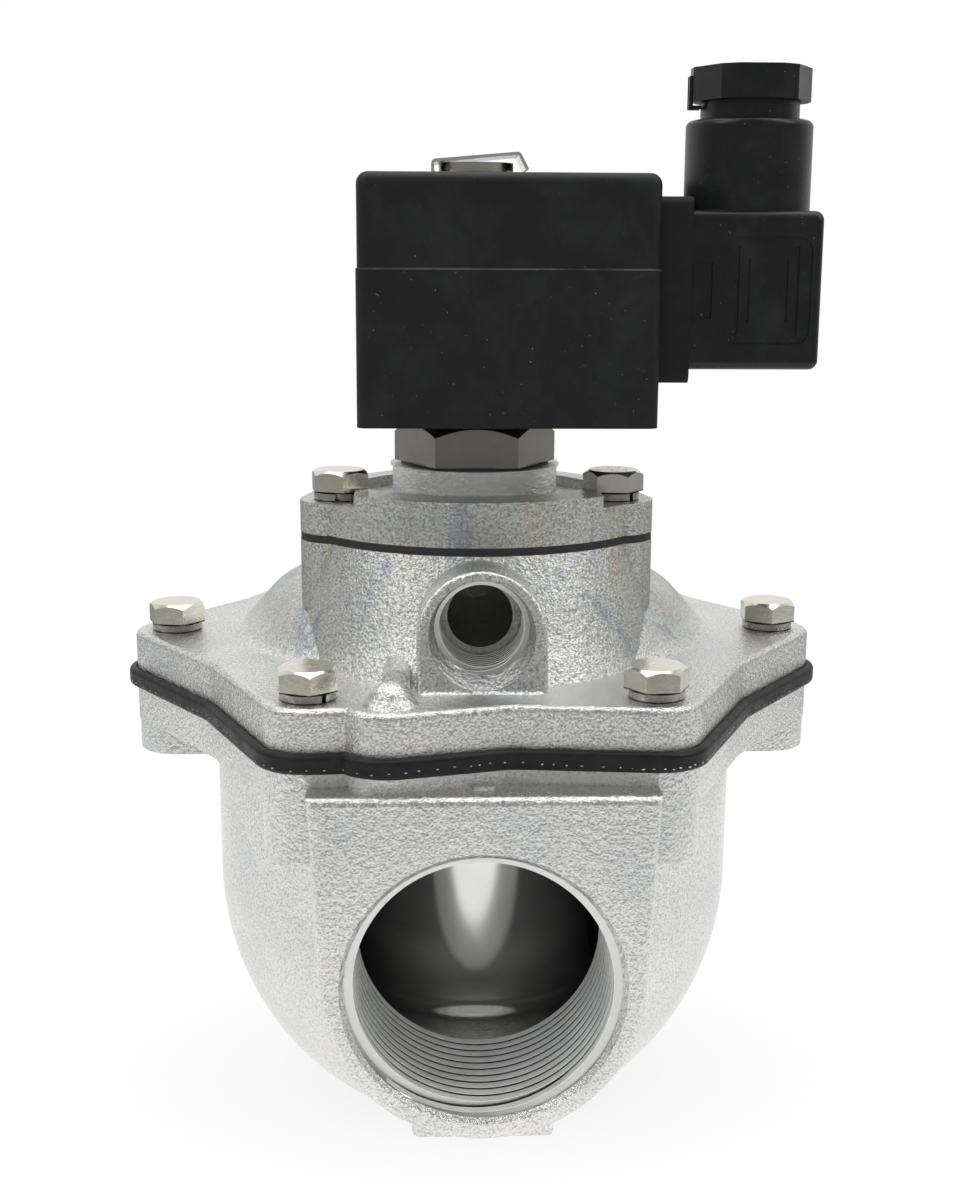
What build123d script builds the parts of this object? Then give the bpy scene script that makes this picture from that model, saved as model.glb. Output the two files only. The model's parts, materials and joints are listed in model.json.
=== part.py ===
from build123d import *
from math import cos, hypot, radians, sin, sqrt, tan
import os

# Right-angle pulse valve with an integral, diaphragm-operated pilot and a plug-connected coil.
# Millimetres. Z runs up the valve's axis from the bottom of the outlet, and the inlet faces -Y.

# Ports: thread radius at the root of the thread, and the chamfer at the mouth
port_r = 23.9
port_thread_len = 20.0
port_chamfer = 0.85
exhaust_r = 8.33
exhaust_thread_len = 10.1
exhaust_sink_angle = 27.0

# Body: outlet collar, bowl, riser tube with its seat, inlet block with a flat pad below
foot_r = 28.0
foot_h = 6.0
foot_chamfer = 0.8
bowl_r = 52.0
bowl_curve_r = 56.75
bowl_wall = 4.8
bowl_base_z = 1.5
inlet_z = 47.0
inlet_face_y = 66.0
inlet_bore_r = 23.0
inlet_round_r = 28.0
inlet_top_w = 59.6
inlet_top_z = 81.6
inlet_edge_r = 1.4
inlet_pad_w = 24.6
inlet_pad_z = 19.2
inlet_pad_h = 10.0
inlet_pad_edge_r = 1.2
riser_r = 24.6
riser_bore_r = 21.0
riser_fillet = 4.0
floor_fillet = 5.0
seat_z = 74.5
seat_edge_r = 1.0
floor_z = 21.0
cast_mark = 3.4
cast_mark_h = 0.6

# Main flange, shared by body, diaphragm and bonnet
flange_z = 84.6
flange_core_r = 57.0
flange_ring_h = 7.6
bolt_circle_r = 60.0
bolt_count = 6
lobe_r = 8.2
lobe_waist_r = 10.0
dome_lobe_at = (-16.2, -54.5)
dome_lobe_r = 8.6
boss_r = 8.0
boss_root_r = 40.0
boss_h = 13.6
front_boss_h = 17.0

# Main diaphragm and its moving stack
diaphragm_t = 2.8
diaphragm_proud = 1.6
diaphragm_bead_t = 3.6
diaphragm_bead_gap = 0.3
diaphragm_edge_r = 0.9
flex_r = 42.0
flex_t = 2.2
pad_r = 26.0
pad_t = 2.5
plate_r = 25.0
plate_t = 2.0
plate_rim_h = 1.2
stack_screw_r = 3.0
stack_washer_r = 12.0
stack_washer_t = 1.5
stack_nut_h = 3.0
main_lift = 9.0
main_lift_room = 2.5
bleed_r = 1.2
bleed_at = 34.0

# Bonnet: flange, dome, pilot housing and exhaust boss
bonnet_flange_t = 7.8
bonnet_edge_r = 1.2
dome_back = 6.0
dome_r = 47.8
dome_mid_r = 40.0
dome_mid_h = 8.6
dome_top_r = 33.0
dome_h = 12.0
dome_root_r = 3.0
dome_round_r = 9.0
apron_half_w = 33.6
apron_reach = 48.2
chamber_r = 43.0
chamber_taper = 28.0
pocket_in_r = 26.5
pocket_out_r = 37.0
pocket_h = 5.0
pilot_front_r = 35.5
pilot_side_r = 29.5
pilot_lug_r = 7.6
pilot_bolt_r = 30.0
pilot_bolt_angles = (-30.0, 90.0, 210.0)
pilot_face_z = 116.5
exhaust_z = 106.0
exhaust_face_y = 50.6
exhaust_mouth_y = 46.6
exhaust_lean = 0.2
exhaust_arch_z = 105.0
exhaust_boss_r = 11.4
exhaust_edge_r = 0.8
exhaust_root_r = 0.8
exhaust_bore_r = 5.9
blind_boss_at = (-15.6, -56.0)
blind_boss_r = 4.0
blind_boss_root_r = 5.0
blind_boss_root_h = 1.4
blind_boss_taper = 40.0
rib_x = -14.9
rib_r = 2.4
rib_h = 2.3
rib_face_y = 51.5
pilot_chamber_r = 22.0
pilot_chamber_h = 3.9
pilot_seat_r = 8.6
pilot_bore_r = 5.6
pilot_seat_drop = 1.6
transfer_r = 2.4
transfer_at = 16.0
transfer_angles = (30.0, 90.0, 150.0)

# Pilot diaphragm and its moving stack
pilot_diaphragm_t = 1.5
pilot_disc_r = 10.5
pilot_plate_r = 12.0
pilot_plate_t = 1.2
pilot_rivet_r = 1.6
pilot_rivet_head_r = 3.2
pilot_rivet_head_t = 0.8
pilot_lift = 2.0
pilot_lift_room = 0.5

# Pilot cover with its collar
cover_t = 6.0
cover_rim_h = 2.2
cover_rim_in_r = 27.0
cover_rim_half_w = 22.9
cover_seat_r = 6.0
cover_recess_r = 24.6
cover_recess_h = 2.0
collar_r = 16.3
collar_h = 11.1
collar_lip = 0.4
cover_cavity_r = 20.0
cover_cavity_h = 1.6
spring_cavity_r = 14.0
nozzle_r = 2.6
nozzle_h = 1.2
nozzle_taper = 10.0
nozzle_bore_r = 1.0
nozzle_floor_t = 2.0
equaliser_r = 1.0
equaliser_at = 7.6

# Bolts with split spring washers: hexagon across flats, head, thread, washer
hex_flats = 10.0
head_h = 4.0
head_crown_h = 1.25
head_top_r = 4.6
thread_r = 3.0
bolt_clear = 0.3
washer_r = 4.95
washer_t = 1.6
washer_split = 0.9
main_bolt_len = 20.0
cover_bolt_len = 16.0
tapped_depth = 12.0

# Core tube, fixed core, plunger
nut_flats = 27.5
nut_h = 8.0
nut_crown_h = 3.2
nut_top_r = 13.0
seal_t = 0.4
seal_r = 14.6
spigot_r = 10.0
tube_r = 7.15
tube_bore_r = 6.35
tube_len = 45.5
core_top_h = 48.9
groove_depth = 0.8
plunger_gap = 2.0
plunger_len = 33.0
plunger_pocket_h = 8.2
plunger_seal_r = 3.0
plunger_seal_t = 1.6
plunger_slot = 1.2
running_gap = 0.08

# Coil with its terminal blades
coil_gap = 0.5
coil_washer_r = 12.4
coil_h = 46.0
coil_left = 22.45
coil_right = 33.45
coil_depth = 44.0
coil_edge_r = 2.2
coil_split_h = 28.9
coil_step = 0.25
coil_bore_gap = 0.10
blade_w = 6.3
blade_t = 0.8
blade_len = 13.0
blade_pitch = 18.0

# Clip on top of the coil
clip_t = 0.6
clip_w = 12.0
clip_left = 8.6
clip_right = 9.8
clip_rise_left = 2.9
clip_rise_right = 4.3
clip_gap = 0.05

# Plug connector: gasket, housing, insert, screw
gasket_w = 32.0
gasket_h = 34.2
gasket_t = 6.2
plug_z = 163.0
plug_w = 28.0
plug_h = 29.4
plug_len = 25.1
plug_wall = 2.0
plug_edge_r = 1.8
window_len = 4.2
window_h = 10.4
window_depth = 0.5
panel_len = 16.4
panel_h = 19.8
panel_depth = 0.35
panel_inset = 2.2
panel_round = 2.6
groove_w = 0.5
groove_pitch_out = 11.2
groove_len_out = 16.4
groove_pitch_in = 7.2
groove_len_in = 11.6
insert_len = 13.0
insert_side = 22.0
insert_gap = 0.3
plug_screw_r = 1.5
plug_screw_head_r = 3.2
plug_screw_head_t = 2.0
plug_screw_edge = 0.5
plug_screw_reach = 6.0

# Cable gland
gland_x = 52.4
gland_r = 12.1
gland_h = 16.9
gland_edge_r = 1.3
gland_neck_r = 9.4
gland_neck_h = 8.4
gland_bore_r = 7.2
gland_nut_gap = 3.4
gland_nut_flats = 21.4
gland_nut_corners = 22.6
gland_nut_h = 6.2
gland_entry_r = 6.2
gland_seal_h = 8.0
gland_cable_r = 4.0
gland_washer_t = 1.0
part_gap = 0.1

# Springs
main_spring_r = 11.0
main_spring_wire = 1.2
main_spring_turns = 3.5
pilot_spring_r = 8.0
pilot_spring_wire = 0.8
pilot_spring_turns = 2.0
plunger_spring_r = 2.6
plunger_spring_wire = 0.7
plunger_spring_turns = 5.0

# Heights that follow from the sizes above
diaphragm_top = flange_z + diaphragm_t
bonnet_z = diaphragm_top + bonnet_flange_t
pad_top = seat_z + pad_t
web_top = pad_top + flex_t
plate_top = web_top + plate_t
chamber_top = plate_top + stack_nut_h + main_lift + main_lift_room
pilot_top = pilot_face_z + pilot_diaphragm_t
pilot_plate_top = pilot_top + pilot_plate_t
cover_z = pilot_top
lug_top = cover_z + cover_t
collar_top = cover_z + collar_h
recess_floor = lug_top - cover_recess_h
nut_z = collar_top + seal_t
nut_top = nut_z + nut_h
coil_z = nut_top + coil_gap
coil_top = coil_z + coil_h
core_top = nut_top + core_top_h
tube_top = nut_top + tube_len
pilot_roof = pilot_plate_top + pilot_rivet_head_t + pilot_lift + pilot_lift_room
nozzle_floor = pilot_roof + nozzle_floor_t
nozzle_top = nozzle_floor + nozzle_h
plunger_z = nozzle_top
plunger_top = plunger_z + plunger_len
core_bottom = plunger_top + plunger_gap
pilot_floor = pilot_face_z - pilot_chamber_h
pilot_seat_z = pilot_face_z - pilot_seat_drop
gasket_x = coil_right + gasket_t
plug_end = gasket_x + plug_len
plug_top = plug_z + plug_h / 2
gland_top = plug_top + gland_h
gland_nut_z = gland_top + gland_nut_gap
gland_nut_top = gland_nut_z + gland_nut_h
neck_top = gland_top + gland_neck_h


def polar(radius, angle):
    """The point at a radius and an angle in degrees."""
    return (radius * cos(radians(angle)), radius * sin(radians(angle)))


def bowl_radius(height, wall=0.0):
    """The radius of the bowl's curved skin at a height below the inlet's axis."""
    return bowl_r - bowl_curve_r + sqrt((bowl_curve_r - wall) ** 2 - (inlet_z - height) ** 2)


# Bolt places, and how far each head and each washer's slit is turned
main_bolt_at = [polar(bolt_circle_r, 360.0 / bolt_count * i) for i in range(bolt_count)]
main_head_turns = (28.0, 0.0, 0.0, 50.0, 38.0, 5.0)
main_slit_turns = (110.0, 20.0, 160.0, 75.0, -52.0, 100.0)
front_bolt_at = [point for point in main_bolt_at if point[1] < 0]
cover_bolt_at = [polar(pilot_bolt_r, angle) for angle in pilot_bolt_angles]
cover_head_turns = (53.0, 0.0, 39.0)
cover_slit_turns = (-51.0, 20.0, -93.0)
front_lug_y = cover_bolt_at[0][1]


def flange_outline(grow=0.0):
    """The main flange: a disc with a tangent lobe at each bolt and one at the blind boss."""
    core = Circle(flange_core_r + grow)
    tips = [(point, lobe_r) for point in main_bolt_at]
    tips.append((dome_lobe_at, dome_lobe_r))
    for point, radius in tips:
        with Locations(point):
            tip = Circle(radius + grow)
        make_hull([*core.edges(), *tip.edges()])
    near = flange_core_r + grow + lobe_r / 2
    waists = [corner for corner in vertices() if hypot(corner.X, corner.Y) < near]
    fillet(waists, lobe_waist_r)


def pilot_outline(grow=0.0):
    """The pilot housing: a bulging front between two lugs, and a third lug behind."""
    Circle(pilot_front_r + grow)
    with Locations(polar(pilot_bolt_r, 270.0)):
        Rectangle(4 * pilot_front_r, pilot_bolt_r, mode=Mode.INTERSECT)
    core = Circle(pilot_side_r + grow)
    for point in cover_bolt_at:
        with Locations(point):
            tip = Circle(pilot_lug_r + grow)
        make_hull([*core.edges(), *tip.edges()])


def front_wall(half_width, reach):
    """A section of the pilot housing's front: a chord between the front lugs and a bulging arc."""
    with BuildLine() as wall:
        ThreePointArc((-half_width, front_lug_y), (0, -reach), (half_width, front_lug_y))
        Line((half_width, front_lug_y), (-half_width, front_lug_y))
    make_face(wall.edges())


def hex_bolt(length, turn):
    """A hexagon bolt, its head sitting on z = 0, with the round chamfer on top."""
    with BuildPart(mode=Mode.PRIVATE) as bolt:
        with BuildSketch():
            RegularPolygon(hex_flats / 2, 6, major_radius=False, rotation=turn)
        extrude(amount=head_h)
        with BuildSketch(Plane.XZ):
            with BuildLine():
                Polyline((0, 0), (hex_flats, 0), (hex_flats / 2 + head_crown_h, head_h - head_crown_h),
                         (head_top_r, head_h), (0, head_h), close=True)
            make_face()
        revolve(axis=Axis.Z, mode=Mode.INTERSECT)
        with BuildSketch():
            Circle(thread_r)
        extrude(amount=-length)
    return bolt.part


def spring_washer(turn):
    """A split spring washer on z = 0, its slit turned to an angle."""
    with BuildPart(mode=Mode.PRIVATE) as washer:
        with BuildSketch():
            Circle(washer_r)
            Circle(thread_r + bolt_clear / 2, mode=Mode.SUBTRACT)
            with Locations(Rot(0, 0, turn) * Pos(washer_r, 0)):
                Rectangle(2 * washer_r, washer_split, mode=Mode.SUBTRACT)
        extrude(amount=washer_t)
    return washer.part


def coil_spring(radius, wire, turns, low, high):
    """A round-wire compression spring between two heights."""
    pitch = (high - low - wire) / turns
    with BuildPart(mode=Mode.PRIVATE) as spring:
        with BuildLine():
            path = Helix(pitch, high - low - wire, radius, center=(0, 0, low + wire / 2))
        with BuildSketch(Plane(origin=path @ 0, z_dir=path % 0)):
            Circle(wire / 2)
        sweep(is_frenet=True)
    return spring.part


# Body: cast in one piece
with BuildPart() as body:
    # Bowl on the outlet's collar
    with BuildSketch(Plane.XZ):
        with BuildLine():
            low = (bowl_radius(bowl_base_z), bowl_base_z)
            high = (bowl_r, inlet_z)
            Polyline((0, flange_z), (0, bowl_base_z), low)
            RadiusArc(low, high, -bowl_curve_r)
            Polyline(high, (bowl_r, flange_z), (0, flange_z))
        make_face()
    revolve(axis=Axis.Z)
    with BuildSketch():
        Circle(foot_r)
    extrude(amount=foot_h)
    chamfer(faces().sort_by(Axis.Z)[0].outer_wire().edges(), foot_chamfer)
    # Flange ring and the bosses under its bolts
    with BuildSketch(Plane.XY.offset(flange_z - flange_ring_h)):
        flange_outline()
    extrude(amount=flange_ring_h)
    for point in main_bolt_at:
        depth = front_boss_h if point in front_bolt_at else boss_h
        with BuildSketch(Plane.XY.offset(flange_z - depth)):
            with Locations(point):
                tip = Circle(boss_r)
            share = boss_root_r / bolt_circle_r
            with Locations((share * point[0], share * point[1])):
                root = Circle(boss_r)
            make_hull([*tip.edges(), *root.edges()])
        extrude(amount=depth)
    # Inlet block
    with BuildSketch(Plane.XZ.offset(inlet_face_y)):
        with Locations((0, inlet_z)):
            bend = Circle(inlet_round_r)
        with BuildLine(mode=Mode.PRIVATE) as top_edge:
            Line((-inlet_top_w / 2, inlet_top_z), (inlet_top_w / 2, inlet_top_z))
        make_hull([*bend.edges(), *top_edge.edges()])
    extrude(amount=riser_r - inlet_face_y)
    fillet(faces().sort_by(Axis.Y)[0].outer_wire().edges(), inlet_edge_r)
    with BuildSketch(Plane.XZ.offset(inlet_face_y - inlet_edge_r)):
        with Locations((0, inlet_pad_z + inlet_pad_h / 2)):
            RectangleRounded(inlet_pad_w, inlet_pad_h, inlet_pad_edge_r)
    extrude(amount=riser_r + inlet_edge_r - inlet_face_y)
    with BuildSketch(Plane.XY.offset(inlet_top_z)):
        with Locations((0, -(flange_core_r + inlet_face_y) / 2 + cast_mark / 2)):
            Rectangle(cast_mark, cast_mark)
    extrude(amount=cast_mark_h)
    # Air chamber round the riser
    inner_r = bowl_r - bowl_wall
    with BuildSketch(Plane.XZ):
        with BuildLine():
            corner = (bowl_radius(floor_z, bowl_wall), floor_z)
            turn = (inner_r, inlet_z)
            FilletPolyline((0, seat_z), (riser_r, seat_z), (riser_r, floor_z), corner,
                           radius=(seat_edge_r, riser_fillet))
            RadiusArc(corner, turn, bowl_wall - bowl_curve_r)
            Polyline(turn, (inner_r, flange_z), (0, flange_z), (0, seat_z))
        make_face()
    revolve(axis=Axis.Z, mode=Mode.SUBTRACT)
    fillet(edges().filter_by(GeomType.CIRCLE).filter_by_position(Axis.Z, floor_z, floor_z)
           .sort_by(SortBy.RADIUS)[-1], floor_fillet)
    # Ports
    with BuildSketch():
        Circle(riser_bore_r)
    extrude(amount=seat_z, mode=Mode.SUBTRACT)
    with BuildSketch():
        Circle(port_r)
    extrude(amount=port_thread_len, mode=Mode.SUBTRACT)
    with BuildSketch():
        Circle(port_r + port_chamfer)
    extrude(amount=port_chamfer, taper=45, mode=Mode.SUBTRACT)
    with BuildSketch(Plane.XZ.offset(inlet_face_y)):
        with Locations((0, inlet_z)):
            Circle(port_r)
    extrude(amount=-port_thread_len, mode=Mode.SUBTRACT)
    with BuildSketch(Plane.XZ.offset(inlet_face_y)):
        with Locations((0, inlet_z)):
            Circle(port_r + port_chamfer)
    extrude(amount=-port_chamfer, taper=45, mode=Mode.SUBTRACT)
    with BuildSketch(Plane.XZ.offset(inlet_face_y)):
        with Locations((0, inlet_z)):
            Circle(inlet_bore_r)
    extrude(amount=riser_r + part_gap - inlet_face_y, mode=Mode.SUBTRACT)
    # Tapped holes for the main bolts
    with Locations(*[(x, y, flange_z) for x, y in main_bolt_at]):
        Hole(thread_r + part_gap, depth=tapped_depth)
body.part.label = "body"

# Main diaphragm: clamped sheet with a dished web, its thicker edge standing a little proud
bead_z = flange_z - (diaphragm_bead_t - diaphragm_t) / 2
with BuildSketch(mode=Mode.PRIVATE) as bead_inside:
    flange_outline(diaphragm_bead_gap)
with BuildPart() as main_diaphragm:
    with BuildSketch(Plane.XY.offset(bead_z)):
        flange_outline(diaphragm_proud)
    extrude(amount=diaphragm_bead_t)
    rims = faces().sort_by(Axis.Z)
    fillet([*rims[0].outer_wire().edges(), *rims[-1].outer_wire().edges()], diaphragm_edge_r)
    with BuildSketch(Plane.XY.offset(bead_z)):
        add(bead_inside.sketch)
    extrude(amount=diaphragm_bead_t, mode=Mode.SUBTRACT)
    with BuildSketch(Plane.XY.offset(flange_z)):
        flange_outline(diaphragm_proud / 2)
        Circle(flex_r, mode=Mode.SUBTRACT)
    extrude(amount=diaphragm_t)
    with BuildSketch(Plane.XZ):
        with BuildLine():
            Polyline((stack_screw_r + part_gap, pad_top), (pad_r + flex_t, pad_top),
                     (flex_r, flange_z), (flex_r + flex_t, flange_z),
                     (flex_r + flex_t, diaphragm_top), (flex_r - flex_t, diaphragm_top),
                     (pad_r, web_top), (stack_screw_r + part_gap, web_top), close=True)
        make_face()
    revolve(axis=Axis.Z)
    with Locations(*[(x, y, diaphragm_top) for x, y in main_bolt_at]):
        Hole(thread_r + bolt_clear, depth=2 * diaphragm_t)
    with Locations((0, bleed_at, diaphragm_top)):
        Hole(bleed_r, depth=diaphragm_top - seat_z)
main_diaphragm.part.label = "main_diaphragm"

# Rubber seat pad under the web
with BuildPart() as main_seat_pad:
    with BuildSketch(Plane.XY.offset(seat_z)):
        Circle(pad_r)
        Circle(stack_screw_r + part_gap, mode=Mode.SUBTRACT)
    extrude(amount=pad_t)
main_seat_pad.part.label = "main_seat_pad"

# Pressed plate on top of the web, with a turned-up rim
with BuildPart() as main_plate:
    with BuildSketch(Plane.XZ):
        with BuildLine():
            Polyline((stack_screw_r + part_gap, web_top), (plate_r, web_top),
                     (plate_r, plate_top + plate_rim_h), (plate_r - plate_t, plate_top + plate_rim_h),
                     (plate_r - plate_t, plate_top), (stack_screw_r + part_gap, plate_top), close=True)
        make_face()
    revolve(axis=Axis.Z)
main_plate.part.label = "main_plate"

# Washer under the pad
with BuildPart() as main_washer:
    with BuildSketch(Plane.XY.offset(seat_z - stack_washer_t)):
        Circle(stack_washer_r)
        Circle(stack_screw_r + part_gap, mode=Mode.SUBTRACT)
    extrude(amount=stack_washer_t)
main_washer.part.label = "main_washer"

# Screw that clamps the moving stack, head below
with BuildPart() as main_screw:
    with BuildSketch(Plane.XY.offset(seat_z - stack_washer_t - head_h)):
        RegularPolygon(hex_flats / 2, 6, major_radius=False)
    extrude(amount=head_h)
    with BuildSketch(Plane.XY.offset(seat_z - stack_washer_t)):
        Circle(stack_screw_r)
    extrude(amount=plate_top + stack_nut_h - seat_z + stack_washer_t)
main_screw.part.label = "main_screw"

with BuildPart() as main_nut:
    with BuildSketch(Plane.XY.offset(plate_top)):
        RegularPolygon(hex_flats / 2, 6, major_radius=False)
        Circle(stack_screw_r + part_gap, mode=Mode.SUBTRACT)
    extrude(amount=stack_nut_h)
main_nut.part.label = "main_nut"

# Spring between the plate and the roof of the bonnet
with BuildPart() as main_spring:
    add(coil_spring(main_spring_r, main_spring_wire, main_spring_turns, plate_top, chamber_top))
main_spring.part.label = "main_spring"

# Bonnet: flange, dome, pilot housing and exhaust boss, cast in one piece
with BuildPart() as bonnet:
    with BuildSketch(Plane.XY.offset(diaphragm_top)):
        flange_outline()
    extrude(amount=bonnet_flange_t)
    fillet(faces().sort_by(Axis.Z)[-1].outer_wire().edges(), bonnet_edge_r)
    # Dome, its axis a little behind the valve's
    with BuildSketch(Plane.XZ.offset(-dome_back)):
        with BuildLine():
            foot = (dome_r + dome_root_r, bonnet_z)
            head = (dome_top_r, bonnet_z + dome_h)
            Polyline(head, (0, bonnet_z + dome_h), (0, bonnet_z - bonnet_flange_t / 2),
                     (foot[0], bonnet_z - bonnet_flange_t / 2), foot)
            FilletPolyline(foot, (dome_r, bonnet_z), (dome_mid_r, bonnet_z + dome_mid_h), head,
                           radius=(dome_root_r, dome_round_r))
        make_face()
    revolve(axis=Axis((0, dome_back, 0), (0, 0, 1)))
    # Pilot housing, its front wall leaning out towards the flange
    with BuildSketch(Plane.XY.offset(bonnet_z)):
        pilot_outline()
    extrude(amount=pilot_face_z - bonnet_z)
    with BuildSketch(Plane.XY.offset(bonnet_z)):
        front_wall(apron_half_w, apron_reach)
    with BuildSketch(Plane.XY.offset(pilot_face_z)):
        front_wall(sqrt(pilot_front_r ** 2 - front_lug_y ** 2), pilot_front_r)
    loft(ruled=True)
    # Exhaust boss, round above and square below, its face leaning back
    boss_plane = Plane((0, -exhaust_face_y, bonnet_z), x_dir=(1, 0, 0), z_dir=(0, -1, exhaust_lean))
    arch_h = exhaust_arch_z - bonnet_z
    with BuildSketch(boss_plane):
        with Locations((0, arch_h)):
            Circle(exhaust_boss_r)
        with Locations((0, arch_h / 2)):
            Rectangle(2 * exhaust_boss_r, arch_h)
    extrude(amount=exhaust_face_y - pilot_side_r, dir=(0, 1, 0))
    boss_face = faces().filter_by(boss_plane).sort_by(Axis.Y)[0]
    fillet(boss_face.outer_wire().edges().sort_by(Axis.Z)[1:], exhaust_edge_r)
    with BuildSketch(Plane.YZ):
        with BuildLine():
            low = (-exhaust_face_y - exhaust_root_r, bonnet_z)
            high = (-exhaust_face_y + exhaust_lean * exhaust_root_r, bonnet_z + exhaust_root_r)
            TangentArc(low, high, tangent=(1, 0))
            Polyline(high, (-pilot_side_r, high[1]), (-pilot_side_r, bonnet_z), low)
        make_face()
    extrude(amount=exhaust_boss_r - exhaust_edge_r, both=True)
    # Blind boss with a flared foot, and the rib between it and the wall
    with BuildSketch(Plane.XY.offset(bonnet_z)):
        with Locations(blind_boss_at):
            Circle(blind_boss_root_r)
    extrude(amount=blind_boss_root_h, taper=blind_boss_taper)
    with Locations((*blind_boss_at, bonnet_z)):
        Sphere(blind_boss_r)
    with BuildSketch(Plane.XZ.offset(rib_face_y)):
        with Locations((rib_x, bonnet_z + rib_h)):
            Circle(rib_r)
        with Locations((rib_x, bonnet_z + rib_h / 2)):
            Rectangle(2 * rib_r, rib_h)
    extrude(amount=pilot_front_r - rib_face_y)
    # Main chamber and the pocket round the pilot core
    with BuildSketch(Plane.XY.offset(diaphragm_top)):
        Circle(chamber_r)
    extrude(amount=chamber_top - diaphragm_top, taper=chamber_taper, mode=Mode.SUBTRACT)
    with BuildSketch(Plane.XY.offset(chamber_top)):
        Circle(pocket_out_r)
        Circle(pocket_in_r, mode=Mode.SUBTRACT)
        with Locations((0, -pocket_out_r)):
            Rectangle(2 * exhaust_boss_r, 2 * pocket_out_r, mode=Mode.SUBTRACT)
    extrude(amount=pocket_h, mode=Mode.SUBTRACT)
    # Pilot chamber, seat and the passages
    with BuildSketch(Plane.XY.offset(pilot_floor)):
        Circle(pilot_chamber_r)
    extrude(amount=pilot_chamber_h, mode=Mode.SUBTRACT)
    with BuildSketch(Plane.XY.offset(pilot_floor)):
        Circle(pilot_seat_r)
    extrude(amount=pilot_seat_z - pilot_floor)
    with BuildSketch(Plane.XY.offset(exhaust_z)):
        Circle(pilot_bore_r)
    extrude(amount=pilot_seat_z - exhaust_z, mode=Mode.SUBTRACT)
    with BuildSketch(Plane.XZ.offset(exhaust_face_y)):
        with Locations((0, exhaust_z)):
            Circle(exhaust_bore_r)
    extrude(amount=-(exhaust_face_y + pilot_bore_r + part_gap), mode=Mode.SUBTRACT)
    with BuildSketch(Plane.XZ.offset(exhaust_face_y)):
        with Locations((0, exhaust_z)):
            Circle(exhaust_r)
    extrude(amount=exhaust_mouth_y - exhaust_face_y - exhaust_thread_len, mode=Mode.SUBTRACT)
    with BuildSketch(Plane.XZ.offset(exhaust_face_y)):
        with Locations((0, exhaust_z)):
            Circle(exhaust_r + (exhaust_face_y - exhaust_mouth_y) * tan(radians(exhaust_sink_angle)))
    extrude(amount=exhaust_mouth_y - exhaust_face_y, taper=exhaust_sink_angle, mode=Mode.SUBTRACT)
    with BuildSketch(Plane.XY.offset(chamber_top)):
        for angle in transfer_angles:
            with Locations(polar(transfer_at, angle)):
                Circle(transfer_r)
    extrude(amount=pilot_floor - chamber_top, mode=Mode.SUBTRACT)
    # Bolt holes through the flange and tapped holes in the pilot lugs
    with Locations(*[(x, y, bonnet_z) for x, y in main_bolt_at]):
        Hole(thread_r + bolt_clear, depth=2 * bonnet_flange_t)
    with Locations(*[(x, y, pilot_face_z) for x, y in cover_bolt_at]):
        Hole(thread_r + part_gap, depth=tapped_depth)
bonnet.part.label = "bonnet"

# Pilot diaphragm, flat sheet clamped under the cover
with BuildPart() as pilot_diaphragm:
    with BuildSketch(Plane.XY.offset(pilot_face_z)):
        pilot_outline(-part_gap)
        Circle(pilot_rivet_r + part_gap, mode=Mode.SUBTRACT)
        with Locations(*cover_bolt_at):
            Circle(thread_r + bolt_clear, mode=Mode.SUBTRACT)
    extrude(amount=pilot_diaphragm_t)
pilot_diaphragm.part.label = "pilot_diaphragm"

# Disc under the pilot diaphragm, which closes the pilot seat
with BuildPart() as pilot_disc:
    with BuildSketch(Plane.XY.offset(pilot_seat_z)):
        Circle(pilot_disc_r)
        Circle(pilot_rivet_r + part_gap, mode=Mode.SUBTRACT)
    extrude(amount=pilot_face_z - pilot_seat_z)
pilot_disc.part.label = "pilot_disc"

with BuildPart() as pilot_plate:
    with BuildSketch(Plane.XY.offset(pilot_top)):
        Circle(pilot_plate_r)
        Circle(pilot_rivet_r + part_gap, mode=Mode.SUBTRACT)
    extrude(amount=pilot_plate_t)
pilot_plate.part.label = "pilot_plate"

# Rivet through the pilot stack
with BuildPart() as pilot_rivet:
    with BuildSketch(Plane.XY.offset(pilot_seat_z - pilot_rivet_head_t)):
        Circle(pilot_rivet_head_r)
    extrude(amount=pilot_rivet_head_t)
    with BuildSketch(Plane.XY.offset(pilot_seat_z)):
        Circle(pilot_rivet_r)
    extrude(amount=pilot_plate_top - pilot_seat_z)
    with BuildSketch(Plane.XY.offset(pilot_plate_top)):
        Circle(pilot_rivet_head_r)
    extrude(amount=pilot_rivet_head_t)
pilot_rivet.part.label = "pilot_rivet"

with BuildPart() as pilot_spring:
    add(coil_spring(pilot_spring_r, pilot_spring_wire, pilot_spring_turns, pilot_plate_top, pilot_roof))
pilot_spring.part.label = "pilot_spring"

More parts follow.
